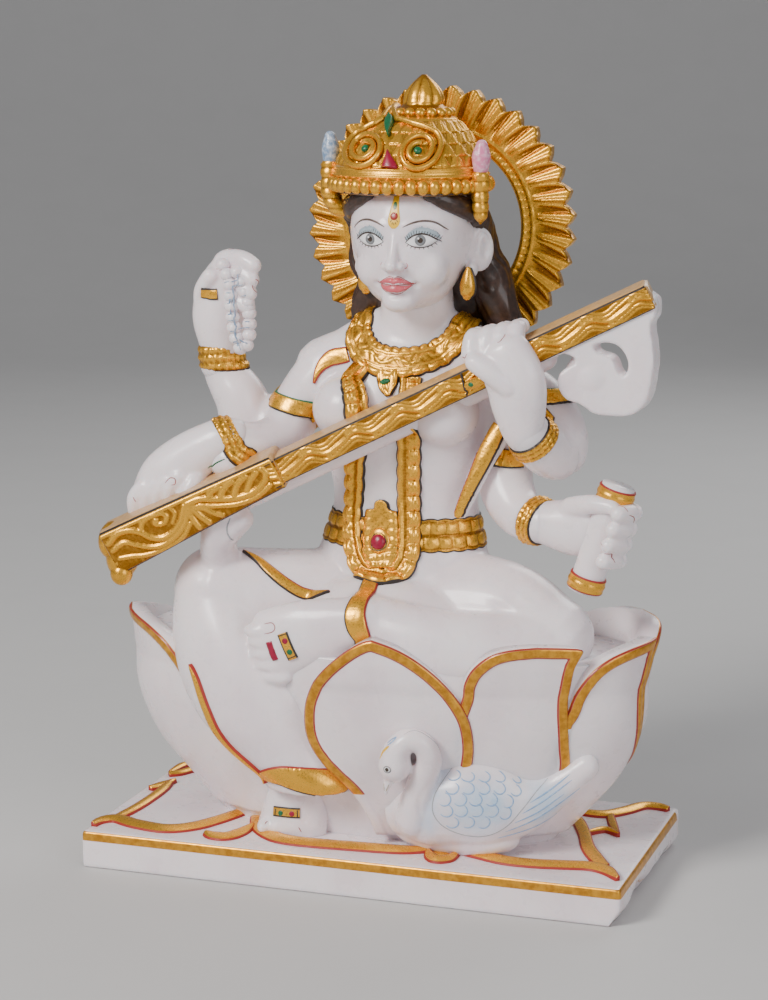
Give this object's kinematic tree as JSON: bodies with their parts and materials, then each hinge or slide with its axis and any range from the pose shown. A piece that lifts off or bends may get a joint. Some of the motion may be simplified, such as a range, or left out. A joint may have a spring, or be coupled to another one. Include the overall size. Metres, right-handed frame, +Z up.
{
  "type": "saraswati figure",
  "caption": "Seated four-armed goddess on a lotus with a veena, halo and swan, carved as one piece of painted white marble on a flat rectangular plinth.",
  "frame": {"origin": "middle of the flat underside of the plinth", "axes": "+Z up; the figure faces -Y; +X towards the far end of the veena, at a viewer's right from the front"},
  "size_m": [0.3252, 0.1566, 0.457],
  "materials": {
    "marble": "polished white marble, painted and gilded"
  },
  "bodies": {
    "root": {"statue": "marble"}
  },
  "joints": []
}
